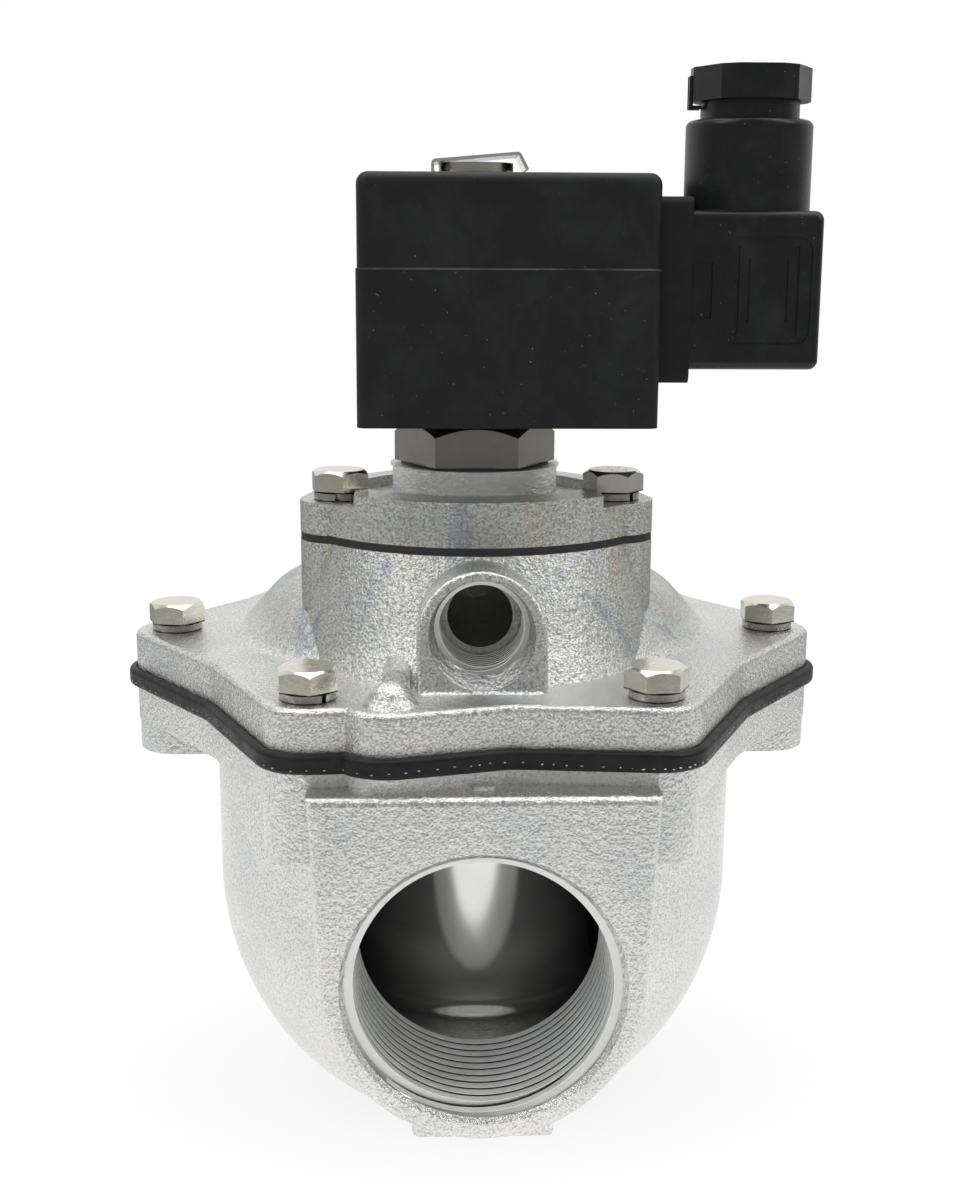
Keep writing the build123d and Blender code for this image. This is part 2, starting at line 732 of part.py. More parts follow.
# Pilot cover: plate with a raised front rim, a recess round the collar, and the collar
with BuildPart() as pilot_cover:
    with BuildSketch(Plane.XY.offset(cover_z)):
        pilot_outline()
    extrude(amount=cover_t)
    with BuildSketch(Plane.XY.offset(lug_top)):
        pilot_outline()
        Circle(cover_rim_in_r, mode=Mode.SUBTRACT)
        with Locations((0, -pilot_front_r)):
            Rectangle(2 * cover_rim_half_w, 2 * pilot_lug_r + cover_rim_in_r, mode=Mode.INTERSECT)
        with Locations(*cover_bolt_at):
            Circle(cover_seat_r, mode=Mode.SUBTRACT)
    extrude(amount=cover_rim_h)
    with BuildSketch(Plane.XY.offset(recess_floor)):
        Circle(cover_recess_r)
    extrude(amount=cover_recess_h, mode=Mode.SUBTRACT)
    with BuildSketch(Plane.XY.offset(recess_floor)):
        Circle(collar_r)
    extrude(amount=collar_top - recess_floor)
    with BuildSketch(Plane.XY.offset(collar_top - collar_lip)):
        Circle(collar_r + collar_lip)
    extrude(amount=collar_lip)
    # Inside: room for the diaphragm, the spring, the thread and the nozzle
    with BuildSketch(Plane.XY.offset(cover_z)):
        Circle(cover_cavity_r)
    extrude(amount=cover_cavity_h, mode=Mode.SUBTRACT)
    with BuildSketch(Plane.XY.offset(cover_z)):
        Circle(spring_cavity_r)
    extrude(amount=pilot_roof - cover_z, mode=Mode.SUBTRACT)
    with BuildSketch(Plane.XY.offset(nozzle_floor)):
        Circle(spigot_r + part_gap)
    extrude(amount=collar_top - nozzle_floor, mode=Mode.SUBTRACT)
    with BuildSketch(Plane.XY.offset(nozzle_floor)):
        Circle(nozzle_r)
    extrude(amount=nozzle_h, taper=nozzle_taper)
    with Locations((0, 0, nozzle_top)):
        Hole(nozzle_bore_r, depth=nozzle_top - cover_z)
    with Locations((equaliser_at, 0, nozzle_floor)):
        Hole(equaliser_r, depth=nozzle_floor - cover_z)
    with Locations(*[(x, y, lug_top) for x, y in cover_bolt_at]):
        Hole(thread_r + bolt_clear, depth=2 * cover_t)
pilot_cover.part.label = "pilot_cover"

# Bolts and spring washers
with BuildPart() as main_bolts:
    for (x, y), turn_angle in zip(main_bolt_at, main_head_turns):
        with Locations((x, y, bonnet_z + washer_t)):
            add(hex_bolt(main_bolt_len, turn_angle))
main_bolts.part.label = "main_bolts"

with BuildPart() as main_spring_washers:
    for (x, y), turn_angle in zip(main_bolt_at, main_slit_turns):
        with Locations((x, y, bonnet_z)):
            add(spring_washer(turn_angle))
main_spring_washers.part.label = "main_spring_washers"

with BuildPart() as cover_bolts:
    for (x, y), turn_angle in zip(cover_bolt_at, cover_head_turns):
        with Locations((x, y, lug_top + washer_t)):
            add(hex_bolt(cover_bolt_len, turn_angle))
cover_bolts.part.label = "cover_bolts"

with BuildPart() as cover_spring_washers:
    for (x, y), turn_angle in zip(cover_bolt_at, cover_slit_turns):
        with Locations((x, y, lug_top)):
            add(spring_washer(turn_angle))
cover_spring_washers.part.label = "cover_spring_washers"

# Flat seal under the hexagon of the core tube
with BuildPart() as tube_seal:
    with BuildSketch(Plane.XY.offset(collar_top)):
        Circle(seal_r)
        Circle(spigot_r + part_gap, mode=Mode.SUBTRACT)
    extrude(amount=seal_t)
tube_seal.part.label = "tube_seal"

# Core tube with its hexagon and threaded spigot
with BuildPart() as core_tube:
    with BuildSketch(Plane.XY.offset(nut_z)):
        RegularPolygon(nut_flats / 2, 6, major_radius=False)
    extrude(amount=nut_h)
    with BuildSketch(Plane.XZ):
        with BuildLine():
            Polyline((0, nut_z), (nut_flats, nut_z), (nut_flats / 2 + nut_crown_h, nut_top - nut_crown_h),
                     (nut_top_r, nut_top), (0, nut_top), close=True)
        make_face()
    revolve(axis=Axis.Z, mode=Mode.INTERSECT)
    with BuildSketch(Plane.XY.offset(nozzle_floor + part_gap)):
        Circle(spigot_r)
    extrude(amount=nut_z - nozzle_floor - part_gap)
    with BuildSketch(Plane.XY.offset(nut_top)):
        Circle(tube_r)
    extrude(amount=tube_len)
    with BuildSketch(Plane.XY.offset(nozzle_floor)):
        Circle(tube_bore_r)
    extrude(amount=tube_top - nozzle_floor, mode=Mode.SUBTRACT)
core_tube.part.label = "core_tube"

# Fixed core closing the tube, its head grooved for the clip
with BuildPart() as fixed_core:
    with BuildSketch(Plane.XY.offset(core_bottom)):
        Circle(tube_bore_r)
    extrude(amount=tube_top - core_bottom)
    with BuildSketch(Plane.XY.offset(tube_top)):
        Circle(tube_r)
    extrude(amount=core_top - tube_top)
    with BuildSketch(Plane.XY.offset(coil_top)):
        Circle(tube_r + clip_t)
        Circle(tube_r - groove_depth, mode=Mode.SUBTRACT)
    extrude(amount=clip_t + 2 * clip_gap, mode=Mode.SUBTRACT)
fixed_core.part.label = "fixed_core"

# Plunger with its two flats for the air, the seal pocket below and the spring pocket above
with BuildPart() as plunger:
    with BuildSketch(Plane.XY.offset(plunger_z)):
        Circle(tube_bore_r - running_gap)
    extrude(amount=plunger_len)
    with BuildSketch(Plane.XY.offset(plunger_z)):
        with Locations((0, tube_bore_r), (0, -tube_bore_r)):
            Rectangle(plunger_slot, 2 * plunger_slot)
    extrude(amount=plunger_len, mode=Mode.SUBTRACT)
    with BuildSketch(Plane.XY.offset(plunger_z)):
        Circle(plunger_seal_r + part_gap)
    extrude(amount=plunger_seal_t, mode=Mode.SUBTRACT)
    with BuildSketch(Plane.XY.offset(plunger_top)):
        Circle(plunger_spring_r + plunger_spring_wire)
    extrude(amount=-plunger_pocket_h, mode=Mode.SUBTRACT)
plunger.part.label = "plunger"

with BuildPart() as plunger_seal:
    with BuildSketch(Plane.XY.offset(plunger_z)):
        Circle(plunger_seal_r)
    extrude(amount=plunger_seal_t)
plunger_seal.part.label = "plunger_seal"

with BuildPart() as plunger_spring:
    add(coil_spring(plunger_spring_r, plunger_spring_wire, plunger_spring_turns,
                    plunger_top - plunger_pocket_h, core_bottom))
plunger_spring.part.label = "plunger_spring"

# Thin spring washer under the coil
with BuildPart() as coil_washer:
    with BuildSketch(Plane.XY.offset(nut_top)):
        Circle(coil_washer_r)
        Circle(tube_r + part_gap, mode=Mode.SUBTRACT)
    extrude(amount=coil_gap - part_gap)
coil_washer.part.label = "coil_washer"

# Moulded coil: the lower half is a hair wider than the upper one at the parting line
coil_mid = (coil_right - coil_left) / 2
coil_w = coil_right + coil_left
with BuildPart() as coil:
    with BuildSketch(Plane.XY.offset(coil_z)):
        with Locations((coil_mid, 0)):
            RectangleRounded(coil_w, coil_depth, coil_edge_r)
    extrude(amount=coil_split_h)
    with BuildSketch(Plane.XY.offset(coil_z + coil_split_h)):
        with Locations((coil_mid, 0)):
            RectangleRounded(coil_w - 2 * coil_step, coil_depth - 2 * coil_step, coil_edge_r)
    extrude(amount=coil_h - coil_split_h)
    fillet(faces().sort_by(Axis.Z)[-1].outer_wire().edges(), coil_edge_r)
    with BuildSketch(Plane.XY.offset(coil_z)):
        Circle(tube_r + coil_bore_gap)
    extrude(amount=coil_h, mode=Mode.SUBTRACT)
    # Blind hole for the plug's screw
    with BuildSketch(Plane.YZ.offset(coil_right)):
        with Locations((0, plug_z)):
            Circle(plug_screw_r + part_gap)
    extrude(amount=-plug_screw_reach - part_gap, mode=Mode.SUBTRACT)
coil.part.label = "coil"


def blade_slots(clear):
    """The three blades of the plug seen along X: two upright, the earth blade flat below."""
    with Locations((-blade_pitch / 2, plug_z), (blade_pitch / 2, plug_z)):
        Rectangle(blade_t + 2 * clear, blade_w + 2 * clear)
    with Locations((0, plug_z - blade_pitch / 2)):
        Rectangle(blade_w + 2 * clear, blade_t + 2 * clear)


with BuildPart() as terminal_blades:
    with BuildSketch(Plane.YZ.offset(coil_right)):
        blade_slots(0)
    extrude(amount=blade_len)
terminal_blades.part.label = "terminal_blades"

# Clip: a slotted foot in the core's groove, a leg, and a strip that rises and curls down
clip_z = coil_top + clip_gap
clip_lift = clip_z + clip_rise_left
with BuildPart() as coil_clip:
    with BuildSketch(Plane.XZ.offset(-clip_w / 2)):
        with BuildLine():
            crest = (clip_right - 3 * clip_t, clip_z + clip_rise_right - clip_t / 2)
            heel = (-clip_left + clip_t / 2, clip_lift - clip_t / 2)
            toe = (clip_right - clip_t / 2, clip_z + 2 * clip_t)
            FilletPolyline((tube_r + clip_t, clip_z + clip_t / 2), (heel[0], clip_z + clip_t / 2),
                           heel, crest, toe, radius=clip_t)
            offset(amount=clip_t / 2, kind=Kind.ARC)
        make_face()
    extrude(amount=clip_w)
    with BuildSketch(Plane.XY.offset(clip_z)):
        with Locations((clip_right / 2, 0)):
            Rectangle(clip_right, 2 * (tube_r - groove_depth) + part_gap)
        Circle(tube_r - groove_depth + part_gap / 2)
    extrude(amount=clip_t, mode=Mode.SUBTRACT)
coil_clip.part.label = "coil_clip"

# Gasket between coil and plug
with BuildPart() as connector_gasket:
    with BuildSketch(Plane.YZ.offset(coil_right)):
        with Locations((0, plug_z)):
            RectangleRounded(gasket_w, gasket_h, plug_edge_r)
        blade_slots(insert_gap)
        with Locations((0, plug_z)):
            Circle(plug_screw_r + insert_gap, mode=Mode.SUBTRACT)
    extrude(amount=gasket_t)
    with BuildSketch(Plane.YZ.offset(coil_right)):
        blade_slots(insert_gap)
    extrude(amount=gasket_t, mode=Mode.SUBTRACT)
connector_gasket.part.label = "connector_gasket"

# Plug housing: open towards the gasket, with the gland's barrel on top
panel_x = plug_end - panel_inset - panel_len / 2
with BuildPart() as connector_housing:
    with BuildSketch(Plane.YZ.offset(gasket_x)):
        with Locations((0, plug_z)):
            RectangleRounded(plug_w, plug_h, plug_edge_r)
    extrude(amount=plug_len)
    fillet(faces().sort_by(Axis.X)[-1].outer_wire().edges(), plug_edge_r)
    with BuildSketch(Plane.XY.offset(plug_z)):
        with Locations((gland_x, 0)):
            Circle(gland_r)
    extrude(amount=gland_top - plug_z)
    fillet(faces().sort_by(Axis.Z)[-1].edges(), gland_edge_r)
    with BuildSketch(Plane.XY.offset(gland_top)):
        with Locations((gland_x, 0)):
            Circle(gland_neck_r)
    extrude(amount=gland_neck_h)
    with BuildSketch(Plane.YZ.offset(gasket_x)):
        with Locations((0, plug_z)):
            RectangleRounded(plug_w - 2 * plug_wall, plug_h - 2 * plug_wall, plug_edge_r / 2)
    extrude(amount=plug_len - plug_wall, mode=Mode.SUBTRACT)
    with BuildSketch(Plane.XY.offset(plug_z)):
        with Locations((gland_x, 0)):
            Circle(gland_bore_r)
    extrude(amount=neck_top - plug_z, mode=Mode.SUBTRACT)
    # Screw hole in the end wall
    with BuildSketch(Plane.YZ.offset(plug_end)):
        with Locations((0, plug_z)):
            Circle(plug_screw_r + part_gap)
    extrude(amount=-plug_wall, mode=Mode.SUBTRACT)
    # Sunk panel with its ribs of grooves, and the snap window, on both flanks
    for side in (1, -1):
        with BuildSketch(Plane.XZ.offset(side * plug_w / 2)):
            with Locations((panel_x, plug_z)):
                RectangleRounded(panel_len, panel_h, panel_round)
        extrude(amount=-side * panel_depth, mode=Mode.SUBTRACT)
        with BuildSketch(Plane.XZ.offset(side * (plug_w / 2 - panel_depth))):
            for pitch, length in ((groove_pitch_out, groove_len_out), (groove_pitch_in, groove_len_in)):
                with Locations((panel_x - pitch / 2, plug_z), (panel_x + pitch / 2, plug_z)):
                    Rectangle(groove_w, length)
        extrude(amount=-side * panel_depth, mode=Mode.SUBTRACT)
        with BuildSketch(Plane.XZ.offset(side * plug_w / 2)):
            with Locations((gasket_x + window_len / 2, plug_z)):
                Rectangle(window_len, window_h)
        extrude(amount=-side * window_depth, mode=Mode.SUBTRACT)
connector_housing.part.label = "connector_housing"

# Contact carrier inside the plug
with BuildPart() as connector_insert:
    with BuildSketch(Plane.YZ.offset(gasket_x + part_gap)):
        with Locations((0, plug_z)):
            Rectangle(insert_side, insert_side)
    extrude(amount=insert_len)
    with BuildSketch(Plane.YZ.offset(gasket_x)):
        blade_slots(insert_gap)
    extrude(amount=coil_right + blade_len - gasket_x + insert_gap, mode=Mode.SUBTRACT)
    with BuildSketch(Plane.YZ.offset(gasket_x)):
        with Locations((0, plug_z)):
            Circle(plug_screw_r + part_gap)
    extrude(amount=plug_len, mode=Mode.SUBTRACT)
connector_insert.part.label = "connector_insert"

# Screw through plug, insert and gasket into the coil
with BuildPart() as connector_screw:
    with BuildSketch(Plane.YZ.offset(plug_end)):
        with Locations((0, plug_z)):
            Circle(plug_screw_head_r)
    extrude(amount=plug_screw_head_t)
    chamfer(faces().sort_by(Axis.X)[-1].edges(), plug_screw_edge)
    with BuildSketch(Plane.YZ.offset(plug_end + plug_screw_head_t)):
        with Locations((0, plug_z)):
            Rectangle(2 * plug_screw_head_r, blade_t)
    extrude(amount=-plug_screw_head_t / 2, mode=Mode.SUBTRACT)
    with BuildSketch(Plane.YZ.offset(plug_end)):
        with Locations((0, plug_z)):
            Circle(plug_screw_r)
    extrude(amount=coil_right - plug_screw_reach - plug_end)
connector_screw.part.label = "connector_screw"

# Cable gland: rubber seal, thrust washer and pressure nut
seal_z = neck_top - gland_washer_t - gland_seal_h
with BuildPart() as gland_seal:
    with BuildSketch(Plane.XY.offset(seal_z)):
        with Locations((gland_x, 0)):
            Circle(gland_bore_r - part_gap)
            Circle(gland_cable_r, mode=Mode.SUBTRACT)
    extrude(amount=gland_seal_h)
gland_seal.part.label = "gland_seal"

with BuildPart() as gland_washer:
    with BuildSketch(Plane.XY.offset(seal_z + gland_seal_h)):
        with Locations((gland_x, 0)):
            Circle(gland_bore_r - part_gap)
            Circle(gland_entry_r, mode=Mode.SUBTRACT)
    extrude(amount=gland_washer_t)
gland_washer.part.label = "gland_washer"

with BuildPart() as gland_nut:
    with BuildSketch(Plane.XY.offset(gland_nut_z)):
        with Locations((gland_x, 0)):
            RegularPolygon(gland_nut_flats / 2, 6, major_radius=False)
            RegularPolygon(gland_nut_corners / 2, 6, major_radius=False, rotation=30,
                           mode=Mode.INTERSECT)
    extrude(amount=gland_nut_h)
    with BuildSketch(Plane.XY.offset(gland_nut_z)):
        with Locations((gland_x, 0)):
            Circle(gland_neck_r + part_gap)
    extrude(amount=neck_top - gland_nut_z, mode=Mode.SUBTRACT)
    with BuildSketch(Plane.XY.offset(neck_top)):
        with Locations((gland_x, 0)):
            Circle(gland_entry_r)
    extrude(amount=gland_nut_top - neck_top, mode=Mode.SUBTRACT)
gland_nut.part.label = "gland_nut"

os.makedirs("parts", exist_ok=True)
for piece in (body, main_diaphragm, main_seat_pad, main_plate, main_washer, main_screw, main_nut, main_spring,
              bonnet, pilot_diaphragm, pilot_disc, pilot_plate, pilot_rivet, pilot_spring, pilot_cover,
              main_bolts, main_spring_washers, cover_bolts, cover_spring_washers, tube_seal, core_tube,
              fixed_core, plunger, plunger_seal, plunger_spring, coil_washer, coil, terminal_blades,
              coil_clip, connector_gasket, connector_housing, connector_insert, connector_screw,
              gland_seal, gland_washer, gland_nut):
    export_step(piece.part, f"parts/{piece.part.label}.step")
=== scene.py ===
import json
import math
import random

import bpy
from mathutils import Matrix, Vector
from mathutils.bvhtree import BVHTree


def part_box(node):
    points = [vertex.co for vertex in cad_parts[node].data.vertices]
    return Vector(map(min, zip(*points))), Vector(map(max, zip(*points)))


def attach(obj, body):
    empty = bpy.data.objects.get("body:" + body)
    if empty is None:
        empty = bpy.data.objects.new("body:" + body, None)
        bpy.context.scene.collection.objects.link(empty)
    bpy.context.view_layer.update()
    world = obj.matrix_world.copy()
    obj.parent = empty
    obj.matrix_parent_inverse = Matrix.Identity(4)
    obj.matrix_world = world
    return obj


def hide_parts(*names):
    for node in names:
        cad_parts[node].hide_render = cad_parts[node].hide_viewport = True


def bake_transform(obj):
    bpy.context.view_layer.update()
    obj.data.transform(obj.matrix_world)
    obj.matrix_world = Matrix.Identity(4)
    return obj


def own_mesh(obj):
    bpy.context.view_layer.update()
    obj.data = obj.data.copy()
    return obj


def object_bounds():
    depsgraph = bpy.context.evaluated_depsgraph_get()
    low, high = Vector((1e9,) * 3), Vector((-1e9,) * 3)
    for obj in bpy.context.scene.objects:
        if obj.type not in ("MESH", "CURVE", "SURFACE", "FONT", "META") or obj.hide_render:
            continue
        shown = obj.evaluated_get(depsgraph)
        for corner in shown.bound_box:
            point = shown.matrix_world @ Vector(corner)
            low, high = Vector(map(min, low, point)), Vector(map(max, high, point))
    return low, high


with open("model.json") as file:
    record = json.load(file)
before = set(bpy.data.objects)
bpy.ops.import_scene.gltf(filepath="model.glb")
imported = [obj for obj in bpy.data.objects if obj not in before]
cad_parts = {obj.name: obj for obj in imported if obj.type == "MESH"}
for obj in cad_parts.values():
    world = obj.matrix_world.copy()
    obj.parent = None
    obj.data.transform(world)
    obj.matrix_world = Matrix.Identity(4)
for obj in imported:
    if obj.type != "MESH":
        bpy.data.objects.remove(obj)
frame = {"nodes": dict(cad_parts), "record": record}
cad_low, cad_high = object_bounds()
MM = 0.001

# Where the photograph was taken from, in the object's frame (metres and degrees), and its lens
CAMERA_PLACE = (-9.57 * MM, -316.94 * MM, 170.31 * MM)
CAMERA_HEADING = 1.95
CAMERA_PITCH = -12.36
CAMERA_ROLL = 0.30
CAMERA_LENS = 47.97
SENSOR_WIDTH = 36.0

MOUNTS = {m["name"]: m for m in frame["record"]["mounts"]}
JOINTS = {j["name"]: j for j in frame["record"]["behaviour"]["joints"]}

# Height at which the main diaphragm is clamped at its edge
CLAMP_Z = JOINTS["main_lift"]["deforming_nodes"][0]["fixed_end_z_m"]

# Bands in which the castings' finish changes and painted shade darkens the bowl's inside, as
# heights and as distances from the valve's axis
BOWL_FLOOR_Z = (26.0 * MM, 30.0 * MM)
BOWL_MOUTH_Z = (80.0 * MM, 84.0 * MM)
BONNET_Z = (84.0 * MM, 88.0 * MM)
PILOT_Z = (93.0 * MM, 98.0 * MM)
COLLAR_Z = (119.5 * MM, 120.5 * MM)
COLLAR_R = (17.5 * MM, 18.5 * MM)
RISER_R = (25.5 * MM, 27.5 * MM)
PILOT_R = (41.0 * MM, 45.0 * MM)
BOWL_WALL_R = (47.8 * MM, 48.6 * MM)

RISE = (0.0, 1.0)
FALL = (1.0, 0.0)

# Sockets of a colour mix node that have no name of their own
MIX_FIRST = 6
MIX_SECOND = 7
MIX_RESULT = 2

# Stops of the castings' colour ramps
CAST_TONES = ((0.30, (0.78, 0.795, 0.79)), (0.50, (0.85, 0.85, 0.83)), (0.72, (0.90, 0.89, 0.86)))
STAIN_TONES = ((0.34, (0.56, 0.60, 0.68)), (0.44, (0.76, 0.77, 0.755)),
               (0.60, (0.75, 0.76, 0.71)), (0.70, (0.76, 0.69, 0.58)))
BODY_SPECKS = ((0.36, 0.66), (0.50, 0.96), (0.70, 1.0))
BONNET_SPECKS = ((0.38, 0.56), (0.52, 0.94), (0.70, 1.0))
CLEAN_TONE = (0.97, 0.98, 0.97)


# Node materials

def grey(level):
    """A grey colour."""
    return (level, level, level)


def new_material(name):
    """A material with its Principled shader and the object's own coordinates."""
    material = bpy.data.materials.new(name)
    material.use_nodes = True
    tree = material.node_tree
    shader = tree.nodes["Principled BSDF"]
    coords = tree.nodes.new("ShaderNodeTexCoord")
    return material, tree, shader, coords.outputs["Object"]


def noise(tree, vector, scale, detail=3.0, roughness=0.55, distortion=0.0):
    """A noise texture's factor at a scale in features per metre."""
    node = tree.nodes.new("ShaderNodeTexNoise")
    node.inputs["Scale"].default_value = scale
    node.inputs["Detail"].default_value = detail
    node.inputs["Roughness"].default_value = roughness
    node.inputs["Distortion"].default_value = distortion
    tree.links.new(vector, node.inputs["Vector"])
    return node.outputs["Fac"]


def ramp(tree, factor, *stops):
    """A colour ramp through (position, grey or colour) stops."""
    node = tree.nodes.new("ShaderNodeValToRGB")
    elements = node.color_ramp.elements
    while len(elements) < len(stops):
        elements.new(0.5)
    for element, (position, value) in zip(elements, stops):
        element.position = position
        colour = value if isinstance(value, tuple) else grey(value)
        element.color = (*colour, 1.0)
    tree.links.new(factor, node.inputs["Fac"])
    return node.outputs["Color"]


def math_node(tree, operation, first, second=None):
    """A math node whose inputs are sockets or numbers."""
    node = tree.nodes.new("ShaderNodeMath")
    node.operation = operation
    for socket, value in zip(node.inputs, (first, second)):
        if value is None:
            continue
        if isinstance(value, (int, float)):
            socket.default_value = value
        else:
            tree.links.new(value, socket)
    return node.outputs["Value"]


def product(tree, first, *others):
    """The product of masks: one only where all of them are."""
    for other in others:
        first = math_node(tree, "MULTIPLY", first, other)
    return first


def mix_colour(tree, factor, first, second, blend="MIX"):
    """A colour mix whose inputs are sockets or colours."""
    node = tree.nodes.new("ShaderNodeMix")
    node.data_type = "RGBA"
    node.blend_type = blend
    sockets = (node.inputs["Factor"], node.inputs[MIX_FIRST], node.inputs[MIX_SECOND])
    for socket, value in zip(sockets, (factor, first, second)):
        if isinstance(value, (int, float)):
            socket.default_value = value
        elif isinstance(value, tuple):
            socket.default_value = (*value, 1.0)
        else:
            tree.links.new(value, socket)
    return node.outputs[MIX_RESULT]


def bump(tree, shader, relief, depth, strength=1.0, normal=None, mask=None):
    """Feeds a relief times a depth in metres into the shader's normal, where a mask allows it."""
    node = tree.nodes.new("ShaderNodeBump")
    node.inputs["Distance"].default_value = depth
    node.inputs["Strength"].default_value = strength
    tree.links.new(relief, node.inputs["Height"])
    if mask is not None:
        tree.links.new(mask, node.inputs["Strength"])
    if normal is not None:
        tree.links.new(normal, node.inputs["Normal"])
    tree.links.new(node.outputs["Normal"], shader.inputs["Normal"])
    return node.outputs["Normal"]


def map_range(tree, value, band, result=RISE):
    """A smooth step between two results while a value crosses a band."""
    node = tree.nodes.new("ShaderNodeMapRange")
    node.interpolation_type = "SMOOTHSTEP"
    for key, number in zip(("From Min", "From Max", "To Min", "To Max"), (*band, *result)):
        node.inputs[key].default_value = number
    tree.links.new(value, node.inputs["Value"])
    return node.outputs["Result"]


def scaled(tree, place, scale):
    """A place with its coordinates scaled."""
    node = tree.nodes.new("ShaderNodeMapping")
    node.inputs["Scale"].default_value = scale
    tree.links.new(place, node.inputs["Vector"])
    return node.outputs["Vector"]


def length_of(tree, place, scale):
    """How far a point is from the origin once its coordinates are scaled."""
    node = tree.nodes.new("ShaderNodeVectorMath")
    node.operation = "LENGTH"
    tree.links.new(scaled(tree, place, scale), node.inputs[0])
    return node.outputs["Value"]


def split_axis(tree, vector, axis):
    """One coordinate of a vector."""
    node = tree.nodes.new("ShaderNodeSeparateXYZ")
    tree.links.new(vector, node.inputs["Vector"])
    return node.outputs[axis]


def line_at(tree, place, level, half_width):
    """One on a level line round the object, zero away from it."""
    above = math_node(tree, "SUBTRACT", split_axis(tree, place, "Z"), level)
    off = math_node(tree, "ABSOLUTE", above)
    return map_range(tree, off, (0.6 * half_width, 1.2 * half_width), FALL)


def cast_metal(name, grain_depth, rough):
    """Tumbled aluminium casting: bright, with a sandy grain of dark pits and slow changes of tone.

    Streaks run down the pilot housing, its cover's collar is clean, the riser in the bowl is
    machined smooth, and the bowl's inside round it is darkened as painted shade.
    """
    material, tree, shader, place = new_material(name)
    level = split_axis(tree, place, "Z")
    radius = length_of(tree, place, (1.0, 1.0, 0.0))
    bonnet = map_range(tree, level, BONNET_Z)
    collar = product(tree, map_range(tree, radius, COLLAR_R, FALL),
                     map_range(tree, level, COLLAR_Z))
    pilot = product(tree, map_range(tree, radius, PILOT_R, FALL), map_range(tree, level, PILOT_Z))
    off_riser = map_range(tree, radius, RISER_R)
    skin = math_node(tree, "MAXIMUM", off_riser, map_range(tree, level, BOWL_MOUTH_Z))
    # Painted shade: the bowl's inside between the riser and its wall, from floor to mouth
    shaded_hollow = product(tree, off_riser, map_range(tree, radius, BOWL_WALL_R, FALL),
                     map_range(tree, level, BOWL_FLOOR_Z),
                     map_range(tree, level, BOWL_MOUTH_Z, FALL))

    waves = noise(tree, place, scale=55.0, detail=3.0, roughness=0.55, distortion=0.3)
    drawn = scaled(tree, place, (1.0, 1.0, 0.06))
    streaks = noise(tree, drawn, scale=170.0, detail=3.0, roughness=0.6)
    tone = ramp(tree, waves, *CAST_TONES)
    stained = mix_colour(tree, 1.0, tone, ramp(tree, streaks, *STAIN_TONES), "MULTIPLY")
    tone = mix_colour(tree, pilot, tone, stained)
    tone = mix_colour(tree, collar, tone, CLEAN_TONE)

    grain = noise(tree, place, scale=2300.0, detail=3.0, roughness=0.6)
    specks = mix_colour(tree, bonnet, ramp(tree, grain, *BODY_SPECKS),
                        ramp(tree, grain, *BONNET_SPECKS))
    specks = mix_colour(tree, collar, specks, grey(1.0))
    speck_share = mix_colour(tree, skin, grey(0.1), grey(0.85))
    sanded = mix_colour(tree, speck_share, tone, specks, "MULTIPLY")

    shader.inputs["Metallic"].default_value = 0.92
    # The bowl's inside takes a dim grey here as painted shade
    tree.links.new(mix_colour(tree, shaded_hollow, sanded, grey(0.30)), shader.inputs["Base Color"])
    tree.links.new(mix_colour(tree, skin, grey(0.18), grey(rough)), shader.inputs["Roughness"])
    pits = noise(tree, place, scale=900.0, detail=2.0, roughness=0.5)
    pitted = bump(tree, shader, pits, 1.2 * grain_depth, mask=skin)
    bump(tree, shader, grain, grain_depth, normal=pitted, mask=skin)
    return material


def turned_metal(name, colour, rough, ring_scale, ring_depth, metallic=1.0):
    """Machined metal with fine rings about its Z axis and faint stains."""
    material, tree, shader, place = new_material(name)
    rings = noise(tree, scaled(tree, place, (0.04, 0.04, 1.0)), ring_scale, roughness=0.6)
    stain = noise(tree, place, scale=140.0, detail=4.0, roughness=0.6)
    dark = tuple(0.86 * c for c in colour)
    shader.inputs["Metallic"].default_value = metallic
    tree.links.new(ramp(tree, stain, (0.35, dark), (0.65, colour)), shader.inputs["Base Color"])
    tree.links.new(ramp(tree, stain, (0.3, rough), (0.75, rough + 0.14)),
                   shader.inputs["Roughness"])
    bump(tree, shader, rings, ring_depth, strength=0.6)
    return material


def plated_steel(name, colour, rough, seams=()):
    """Plated fastener steel: smooth, with small dents, a warm stain and a dark line of painted
    shade along its seams.
    """
    material, tree, shader, place = new_material(name)
    dents = noise(tree, place, scale=900.0, roughness=0.5)
    stain = noise(tree, place, scale=260.0, roughness=0.6)
    warm = (colour[0], colour[1] * 0.95, colour[2] * 0.85)
    tone = ramp(tree, stain, (0.4, colour), (0.62, warm))
    for level in seams:
        # Painted shade: a near-black line along each seam
        tone = mix_colour(tree, line_at(tree, place, level, 0.22 * MM), tone, grey(0.02))
    shader.inputs["Metallic"].default_value = 1.0
    tree.links.new(tone, shader.inputs["Base Color"])
    tree.links.new(ramp(tree, dents, (0.3, rough), (0.7, rough + 0.12)),
                   shader.inputs["Roughness"])
    bump(tree, shader, dents, 0.06 * MM, strength=0.5)
    return material


